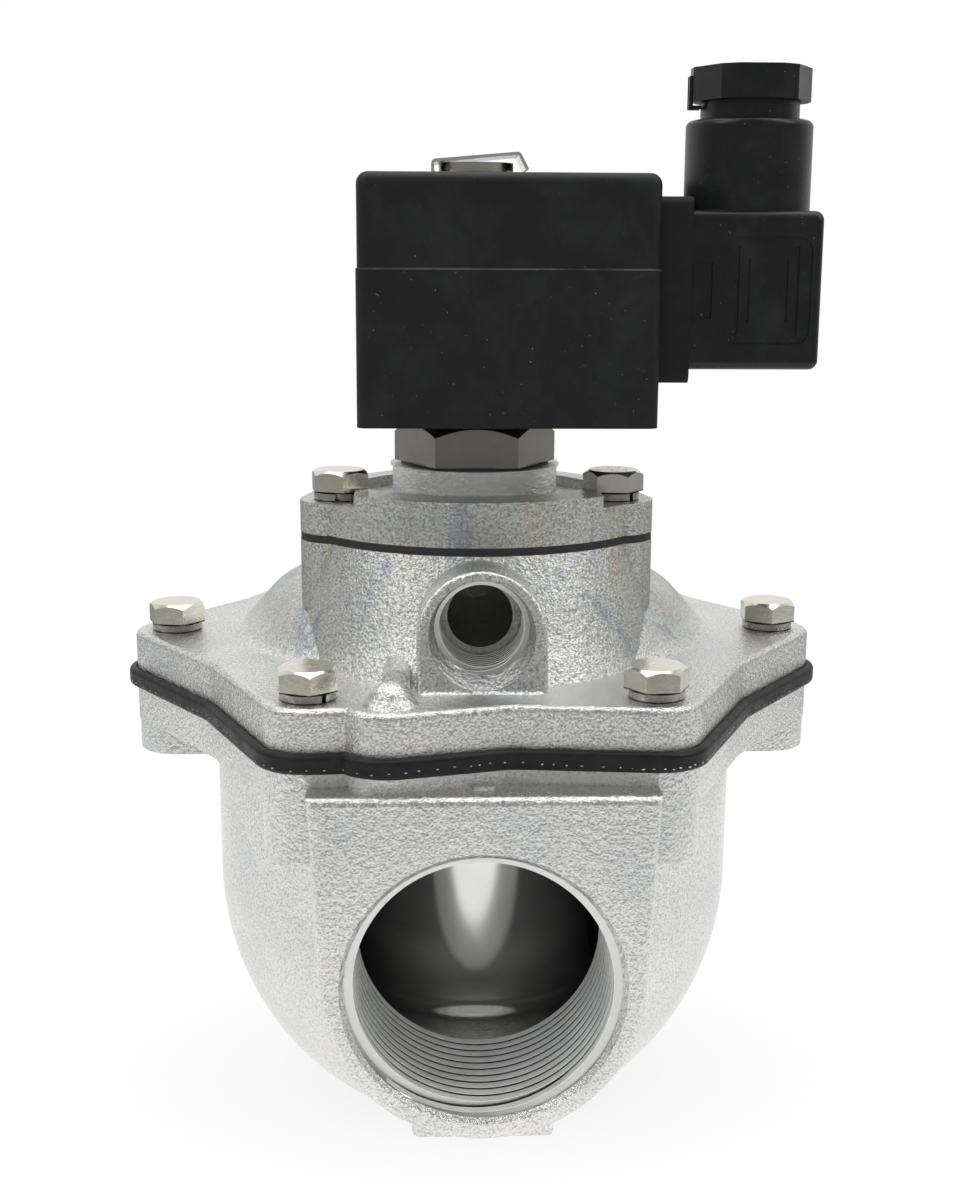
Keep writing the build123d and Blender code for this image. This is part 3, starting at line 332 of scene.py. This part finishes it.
def black_plastic(name, colour, rough, grain_scale, grain_depth, dustiness, line_z=None):
    """Moulded black plastic with a fine grain, scuffs, a few grains of dust and a parting line."""
    material, tree, shader, place = new_material(name)
    grain = noise(tree, place, grain_scale, roughness=0.6)
    wear = noise(tree, place, scale=90.0, detail=5.0, roughness=0.7, distortion=0.4)
    dust = noise(tree, place, scale=1700.0, detail=2.0, roughness=0.5)
    pale = tuple(2.4 * c for c in colour)
    worn = ramp(tree, wear, (0.46, colour), (0.76, pale))
    if line_z is not None:
        shown = ramp(tree, wear, (0.36, 0.15), (0.56, 0.75))
        seam = product(tree, line_at(tree, place, line_z, 0.16 * MM), shown)
        worn = mix_colour(tree, seam, worn, (0.10, 0.098, 0.09))
    specks = ramp(tree, dust, (0.74, 0.0), (0.77, dustiness))
    shader.inputs["Specular IOR Level"].default_value = 0.4
    tree.links.new(mix_colour(tree, specks, worn, (0.22, 0.20, 0.18)),
                   shader.inputs["Base Color"])
    tree.links.new(ramp(tree, wear, (0.4, rough), (0.75, rough + 0.1)),
                   shader.inputs["Roughness"])
    bump(tree, shader, grain, grain_depth, strength=0.6)
    return material


def edge_rubber(name):
    """Moulded rubber edge: black, wavy and a little scuffed."""
    material, tree, shader, place = new_material(name)
    smear = noise(tree, place, scale=380.0, detail=4.0, roughness=0.6)
    dents = noise(tree, place, scale=150.0, detail=2.0, roughness=0.5)
    black = ramp(tree, smear, (0.35, (0.005, 0.005, 0.006)), (0.75, (0.011, 0.011, 0.011)))
    shader.inputs["Specular IOR Level"].default_value = 0.35
    tree.links.new(black, shader.inputs["Base Color"])
    tree.links.new(ramp(tree, smear, (0.3, 0.38), (0.7, 0.55)), shader.inputs["Roughness"])
    dented = bump(tree, shader, dents, 0.8 * MM, strength=0.6)
    bump(tree, shader, smear, 0.2 * MM, strength=0.6, normal=dented)
    return material


def yarn_fibre(name):
    """Cut ends of the diaphragm's fabric: pale grey with dark rubber between the threads."""
    material, tree, shader, place = new_material(name)
    threads = noise(tree, place, scale=3200.0, detail=2.0, roughness=0.6)
    tone = ramp(tree, threads, (0.38, (0.22, 0.22, 0.21)), (0.55, (0.72, 0.72, 0.70)))
    tree.links.new(tone, shader.inputs["Base Color"])
    shader.inputs["Roughness"].default_value = 0.9
    bump(tree, shader, threads, 0.1 * MM, strength=0.6)
    return material


def plain_rubber(name, colour, rough):
    """Moulded rubber with a soft mottled surface."""
    material, tree, shader, place = new_material(name)
    mottle = noise(tree, place, scale=700.0, detail=4.0, roughness=0.6)
    pale = tuple(1.7 * c for c in colour)
    shader.inputs["Specular IOR Level"].default_value = 0.3
    tree.links.new(ramp(tree, mottle, (0.35, colour), (0.75, pale)), shader.inputs["Base Color"])
    tree.links.new(ramp(tree, mottle, (0.3, rough), (0.7, rough + 0.12)),
                   shader.inputs["Roughness"])
    bump(tree, shader, mottle, 0.1 * MM, strength=0.5)
    return material


# Levels of the seams under and over the spring washers, where lines of painted shade go, and of
# the coil's parting line
SHADED_SEAM_LEVELS = [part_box(name)[end].z for name in ("main_spring_washers", "cover_spring_washers")
               for end in (0, 1)]
COIL_LINE_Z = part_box("coil")[0].z + 28.9 * MM

CASTING = cast_metal("cast_aluminium", grain_depth=0.19 * MM, rough=0.25)
MACHINED = turned_metal("machined_aluminium", (0.80, 0.80, 0.79), rough=0.24,
                        ring_scale=2600.0, ring_depth=0.03 * MM)
TURNED = turned_metal("turned_stainless", (0.42, 0.40, 0.34), rough=0.34,
                      ring_scale=1800.0, ring_depth=0.04 * MM)
CORE_BAND = turned_metal("core_band", (0.66, 0.65, 0.60), rough=0.20,
                         ring_scale=1800.0, ring_depth=0.04 * MM)
THREAD = turned_metal("thread_crest", (0.98, 0.99, 0.97), rough=0.40,
                      ring_scale=2600.0, ring_depth=0.02 * MM, metallic=0.25)
# Near-black: painted shade in the threads' grooves
GROOVE_SHADE = turned_metal("thread_groove_shade", (0.02, 0.02, 0.02), rough=0.6,
                      ring_scale=2600.0, ring_depth=0.03 * MM, metallic=0.0)
PLATED = plated_steel("zinc_plated_steel", (0.70, 0.69, 0.65), rough=0.20)
SPRING = plated_steel("spring_steel", (0.58, 0.58, 0.57), rough=0.25)
BOLT = plated_steel("bolt_zinc", (0.80, 0.78, 0.70), rough=0.16, seams=SHADED_SEAM_LEVELS)
WASHER = plated_steel("washer_steel", (0.50, 0.50, 0.49), rough=0.22, seams=SHADED_SEAM_LEVELS)
PRESSED = plated_steel("pressed_stainless", (0.62, 0.62, 0.61), rough=0.3)
BRIGHT = plated_steel("bright_strip", (0.86, 0.86, 0.87), rough=0.08)
CONTACT = plated_steel("tinned_brass", (0.72, 0.66, 0.55), rough=0.3)
COIL_RESIN = black_plastic("coil_resin", (0.0046, 0.0049, 0.0053), rough=0.50,
                           grain_scale=1400.0, grain_depth=0.12 * MM, dustiness=0.6,
                           line_z=COIL_LINE_Z)
PLUG_PLASTIC = black_plastic("plug_plastic", (0.0050, 0.0053, 0.0058), rough=0.32,
                             grain_scale=900.0, grain_depth=0.05 * MM, dustiness=0.8)
GASKET = plain_rubber("gasket_rubber", (0.0055, 0.0055, 0.0060), rough=0.6)
SEAL = plain_rubber("seal_rubber", (0.018, 0.018, 0.018), rough=0.5)
EDGE = edge_rubber("diaphragm_rubber")
FIBRE = yarn_fibre("yarn_fibre")

NODE_MATERIALS = {
    CASTING: ["body", "bonnet", "pilot_cover"],
    EDGE: ["main_diaphragm"],
    SEAL: ["main_seat_pad", "tube_seal", "plunger_seal", "gland_seal", "pilot_disc",
           "pilot_diaphragm"],
    PRESSED: ["main_plate", "main_washer", "pilot_plate", "pilot_rivet"],
    PLATED: ["main_screw", "main_nut", "connector_screw"],
    BOLT: ["main_bolts", "cover_bolts"],
    WASHER: ["main_spring_washers", "cover_spring_washers"],
    SPRING: ["main_spring", "pilot_spring", "plunger_spring", "coil_washer"],
    TURNED: ["core_tube", "plunger"],
    CORE_BAND: ["fixed_core"],
    BRIGHT: ["coil_clip"],
    COIL_RESIN: ["coil"],
    CONTACT: ["terminal_blades"],
    GASKET: ["connector_gasket"],
    PLUG_PLASTIC: ["connector_housing", "connector_insert", "gland_nut", "gland_washer"],
}
for material, names in NODE_MATERIALS.items():
    for name in names:
        materials = frame["nodes"][name].data.materials
        materials.clear()
        materials.append(material)


# Pieces made here

def add_piece(name, verts, faces, material, body, smooth=True):
    """A mesh piece in the object's frame, riding on a body."""
    mesh = bpy.data.meshes.new(name)
    mesh.from_pydata(verts, [], faces)
    mesh.update()
    for polygon in mesh.polygons:
        polygon.use_smooth = smooth
    piece = bpy.data.objects.new(name, mesh)
    bpy.context.collection.objects.link(piece)
    mesh.materials.append(material)
    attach(piece, body)
    return piece


def surface_of(node):
    """A search tree over a CAD node's faces, in the object's frame."""
    mesh = frame["nodes"][node].data
    return BVHTree.FromPolygons([v.co for v in mesh.vertices], [p.vertices for p in mesh.polygons])


# Steps per turn of a thread, how many of them it takes to fade out at its ends, and the
# shortest run of wall that carries a ridge
TURN_STEPS = 120
FADE_STEPS = TURN_STEPS / 4
SHORTEST_RUN = TURN_STEPS // 8

# Material slots of a thread: its crests, its grooves painted near-black as shade, and the flanks
# nearest the mouth, left without that shade
CREST_SLOT = 0
GROOVE_SHADE_SLOT = 1
MOUTH_SLOT = 2
MOUTH_TURNS = 2


def ridge_strips(crest):
    """Strips across one pitch of a thread, from the mouth inwards.

    Each is two points (share of the ridge's height, share of the pitch), the slot of its
    material and that slot near the mouth. A crest is the flat half-width's share of the pitch.
    """
    edge = crest + 0.03
    foot = crest + 0.12
    return [
        ((0.0, -0.50), (0.0, -foot), GROOVE_SHADE_SLOT, MOUTH_SLOT),
        ((0.0, -foot), (0.95, -edge), GROOVE_SHADE_SLOT, MOUTH_SLOT),
        ((0.95, -edge), (1.0, -crest), CREST_SLOT, CREST_SLOT),
        ((1.0, -crest), (1.0, crest), CREST_SLOT, CREST_SLOT),
        ((1.0, crest), (0.95, edge), CREST_SLOT, CREST_SLOT),
        ((0.95, edge), (0.0, foot), GROOVE_SHADE_SLOT, GROOVE_SHADE_SLOT),
        ((0.0, foot), (0.0, 0.50), GROOVE_SHADE_SLOT, GROOVE_SHADE_SLOT),
    ]


def port_thread(name, mount_name, wall, reach, pitch, depth, length, crest=0.33):
    """The ridges of an internal pipe thread: a flat-crested helix wherever the port has a wall."""
    mount = MOUNTS[mount_name]
    outward = Vector(mount["axis"]).normalized()
    root_r = mount["dims"]["r_mm"] * MM
    mouth = Vector(mount["pos_m"]) + outward * mount["dims"]["length_mm"] * MM / 2
    side = outward.orthogonal().normalized()
    up = outward.cross(side)
    count = int(length / pitch * TURN_STEPS)
    strips = ridge_strips(crest)
    profile = [point for strip in strips for point in strip[:2]]
    verts = []
    walled = []
    for i in range(count + 1):
        angle = 2 * math.pi * i / TURN_STEPS
        fade = min(1.0, i / FADE_STEPS, (count - i) / FADE_STEPS)
        along = pitch * (i / TURN_STEPS + 0.5)
        radial = side * math.cos(angle) + up * math.sin(angle)
        for share, offset in profile:
            radius = root_r - depth * share * fade
            verts.append(mouth - outward * (along + offset * pitch) + radial * radius)
        root = mouth - outward * along + radial * root_r
        walled.append(wall.find_nearest(root)[3] < reach)
    for i in range(count):
        before = walled[max(0, i - SHORTEST_RUN):i + 1]
        after = walled[i:i + SHORTEST_RUN]
        if walled[i] and not all(before) and not all(after):
            walled[i] = False
    width = len(profile)
    faces = []
    slots = []
    for i in range(count):
        if not (walled[i] and walled[i + 1]):
            continue
        # Grooves take the painted shade, except the mouth-facing ones in the first turns
        near_mouth = i < MOUTH_TURNS * TURN_STEPS
        for k, (_, _, slot, mouth_slot) in enumerate(strips):
            a = i * width + 2 * k
            faces.append((a, a + 1, a + width + 1, a + width))
            slots.append(mouth_slot if near_mouth else slot)
    thread = add_piece(name, verts, faces, THREAD, "valve")
    thread.data.materials.append(GROOVE_SHADE)
    thread.data.materials.append(MACHINED)
    for polygon, slot in zip(thread.data.polygons, slots):
        polygon.material_index = slot


def yarn_ends():
    """Short cut fibres in a broken line round the diaphragm's edge, a little below its middle."""
    surface = surface_of("main_diaphragm")
    edge_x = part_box("main_diaphragm")[1].x
    line_z = CLAMP_Z + 0.9 * MM
    wave = 0.35 * MM
    waves_round = 7
    proud = 0.09 * MM
    sunk = 0.06 * MM
    sides = 6
    # Ranges for most of the edge, and for its fresh stretch, where the fibres lie denser
    fresh_from, fresh_to = 292.0, 318.0
    steps = {False: (1.3, 3.0), True: (0.9, 1.7)}
    half_widths = {False: (0.22, 0.48), True: (0.35, 0.60)}
    half_heights = {False: (0.09, 0.15), True: (0.14, 0.20)}
    rng = random.Random(11)
    verts = []
    faces = []
    angle = 0.0
    while angle < 360.0:
        fresh = fresh_from < angle % 360.0 < fresh_to
        angle += rng.uniform(*steps[fresh])
        turn = math.radians(angle)
        outward = Vector((math.cos(turn), math.sin(turn), 0.0))
        start = outward * 2 * edge_x
        start.z = line_z + wave * math.sin(waves_round * turn) + rng.uniform(-0.12, 0.12) * MM
        hit, normal, _, _ = surface.ray_cast(start, -outward)
        if hit is None:
            continue
        along = Vector((-normal.y, normal.x, 0.0)).normalized()
        half_w = rng.uniform(*half_widths[fresh]) * MM
        half_h = rng.uniform(*half_heights[fresh]) * MM
        base = len(verts)
        verts.append(hit + normal * proud)
        for k in range(sides):
            step = 2 * math.pi * k / sides
            rim = hit + along * half_w * math.cos(step) - normal * sunk
            rim.z += half_h * math.sin(step)
            verts.append(rim)
        faces += [(base, base + 1 + k, base + 1 + (k + 1) % sides) for k in range(sides)]
    add_piece("yarn_ends", verts, faces, FIBRE, "valve")


def gland_tab():
    """The hooked lug that hangs from the gland nut's left side and snaps under its rim."""
    low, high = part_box("gland_nut")
    thick = 0.5 * MM
    half_width = 1.1 * MM
    outer_x = low.x - thick
    hook_x = low.x + 3.2 * thick
    top_z = high.z - 1.6 * MM
    hook_z = low.z - 0.8 * MM
    outline = [(outer_x, top_z), (outer_x, hook_z - thick), (hook_x, hook_z - thick),
               (hook_x, hook_z), (low.x, hook_z), (low.x, top_z)]
    verts = [(x, y, z) for y in (-half_width, half_width) for x, z in outline]
    n = len(outline)
    faces = [tuple(range(n)), tuple(range(2 * n - 1, n - 1, -1))]
    faces += [(k, (k + 1) % n, n + (k + 1) % n, n + k) for k in range(n)]
    tab = add_piece("gland_tab", verts, faces, PLUG_PLASTIC, "coil", smooth=False)
    bevel = tab.modifiers.new("bevel", "BEVEL")
    bevel.width = 0.12 * MM
    bevel.segments = 2


def soft_copy(name, node):
    """A piece with a CAD node's shape and finish, standing in for that node, which is hidden."""
    source = frame["nodes"][node]
    piece = bpy.data.objects.new(name, source.data.copy())
    bpy.context.collection.objects.link(piece)
    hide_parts(node)
    return piece


def sprung_wire(name, node):
    """A spring copied from its CAD node, riding on the valve with a mesh of its own."""
    wire = soft_copy(name, node)
    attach(wire, "valve")
    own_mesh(wire)


def flexing_sheet(name, node):
    """A diaphragm clamped at its edge that carries a stack at its middle, lower down."""
    sheet = soft_copy(name, node)
    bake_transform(sheet)


body_surface = surface_of("body")
port_thread("inlet_thread", "inlet_port", body_surface, reach=1.0 * MM,
            pitch=2.309 * MM, depth=1.48 * MM, length=26.0 * MM)
port_thread("outlet_thread", "outlet_port", body_surface, reach=0.3 * MM,
            pitch=2.309 * MM, depth=1.48 * MM, length=18.5 * MM)
port_thread("exhaust_thread", "exhaust_port", surface_of("bonnet"), reach=0.3 * MM,
            pitch=1.337 * MM, depth=0.85 * MM, length=10.0 * MM, crest=0.22)
yarn_ends()
gland_tab()
sprung_wire("main_spring_wire", "main_spring")
sprung_wire("pilot_spring_wire", "pilot_spring")
sprung_wire("plunger_spring_wire", "plunger_spring")
flexing_sheet("main_membrane", "main_diaphragm")


# Floor, lights and camera

def mix_shader(tree, factor, first, second):
    """A mix of two shaders' outputs by a factor."""
    node = tree.nodes.new("ShaderNodeMixShader")
    for socket, value in zip(node.inputs, (factor, first, second)):
        tree.links.new(value, socket)
    return node.outputs["Shader"]


def floor_material():
    """White to the camera with the object's soft shadow; mirrored bright only near the object."""
    material, tree, shader, place = new_material("floor_white")
    shader.inputs["Base Color"].default_value = (*grey(0.9), 1.0)
    shader.inputs["Roughness"].default_value = 0.9
    shader.inputs["Specular IOR Level"].default_value = 0.1
    away = length_of(tree, place, (0.6, 1.0, 1.0))
    shadowed = map_range(tree, away, (0.015, 0.06), (0.22, 0.0))
    plain = shader.outputs["BSDF"]
    white = tree.nodes.new("ShaderNodeEmission")
    mirrored = tree.nodes.new("ShaderNodeEmission")
    tree.links.new(map_range(tree, away, (0.18, 0.38), (1.0, 0.30)), mirrored.inputs["Strength"])
    path = tree.nodes.new("ShaderNodeLightPath")
    seen = mix_shader(tree, shadowed, white.outputs["Emission"], plain)
    bounced = mix_shader(tree, path.outputs["Is Glossy Ray"], plain, mirrored.outputs["Emission"])
    surface = mix_shader(tree, path.outputs["Is Camera Ray"], bounced, seen)
    tree.links.new(surface, tree.nodes["Material Output"].inputs["Surface"])
    return material


def make_floor():
    """A pale floor just under the object."""
    size = 3.0
    gap = 0.2 * MM
    mesh = bpy.data.meshes.new("floor")
    mesh.from_pydata([(-size, -size, 0), (size, -size, 0), (size, size, 0), (-size, size, 0)],
                     [], [(0, 1, 2, 3)])
    floor = bpy.data.objects.new("floor", mesh)
    bpy.context.collection.objects.link(floor)
    floor.location.z = cad_low.z - gap
    mesh.materials.append(floor_material())


def area_light(name, place, target, size, power, mirrored=True):
    """A rectangular lamp at a place, aimed at a target, that metal may mirror."""
    data = bpy.data.lights.new(name, "AREA")
    data.shape = "RECTANGLE"
    data.size, data.size_y = size
    data.energy = power
    lamp = bpy.data.objects.new(name, data)
    bpy.context.collection.objects.link(lamp)
    lamp.location = place
    aim = Vector(target) - Vector(place)
    lamp.rotation_mode = "QUATERNION"
    lamp.rotation_quaternion = aim.to_track_quat("-Z", "Y")
    lamp.visible_glossy = mirrored


def make_world():
    """White to the camera; for the object a soft room, bright behind and dimmer in front."""
    world = bpy.data.worlds.new("studio")
    bpy.context.scene.world = world
    world.use_nodes = True
    tree = world.node_tree
    background = tree.nodes["Background"]
    background.inputs["Color"].default_value = (*grey(1.0), 1.0)
    coords = tree.nodes.new("ShaderNodeTexCoord")
    depth = split_axis(tree, coords.outputs["Generated"], "Y")
    room = map_range(tree, depth, (-0.1, 0.7), (0.26, 0.88))
    path = tree.nodes.new("ShaderNodeLightPath")
    chosen = tree.nodes.new("ShaderNodeMix")
    tree.links.new(path.outputs["Is Camera Ray"], chosen.inputs["Factor"])
    tree.links.new(room, chosen.inputs["A"])
    chosen.inputs["B"].default_value = 1.0
    tree.links.new(chosen.outputs["Result"], background.inputs["Strength"])


def make_camera():
    """The camera at the photograph's place, heading, pitch, roll and lens."""
    data = bpy.data.cameras.new("camera")
    data.sensor_width = SENSOR_WIDTH
    data.sensor_fit = "AUTO"
    data.lens = CAMERA_LENS
    data.clip_start = 0.01
    data.clip_end = 50.0
    camera = bpy.data.objects.new("camera", data)
    bpy.context.collection.objects.link(camera)
    camera.location = CAMERA_PLACE
    heading = Matrix.Rotation(math.radians(-CAMERA_HEADING), 4, "Z")
    pitch = Matrix.Rotation(math.radians(90.0 + CAMERA_PITCH), 4, "X")
    roll = Matrix.Rotation(math.radians(CAMERA_ROLL), 4, "Z")
    camera.rotation_mode = "QUATERNION"
    camera.rotation_quaternion = (heading @ pitch @ roll).to_quaternion()
    bpy.context.scene.camera = camera


BODY_CENTRE = (0.0, 0.0, 0.08)
PILOT_CENTRE = (0.0, 0.0, 0.1)

make_floor()
make_world()
area_light("key_left", (-0.60, -0.30, 0.85), BODY_CENTRE, size=(0.30, 0.8), power=2.6)
area_light("key_right", (0.60, -0.20, 0.80), BODY_CENTRE, size=(0.30, 0.8), power=2.4)
area_light("top", (0.0, 0.15, 0.95), PILOT_CENTRE, size=(0.8, 0.5), power=2.6)
area_light("front_fill", (-0.05, -0.75, 0.25), BODY_CENTRE, size=(0.5, 0.5), power=2.2,
           mirrored=False)
make_camera()
bpy.context.scene.view_settings.view_transform = "Standard"
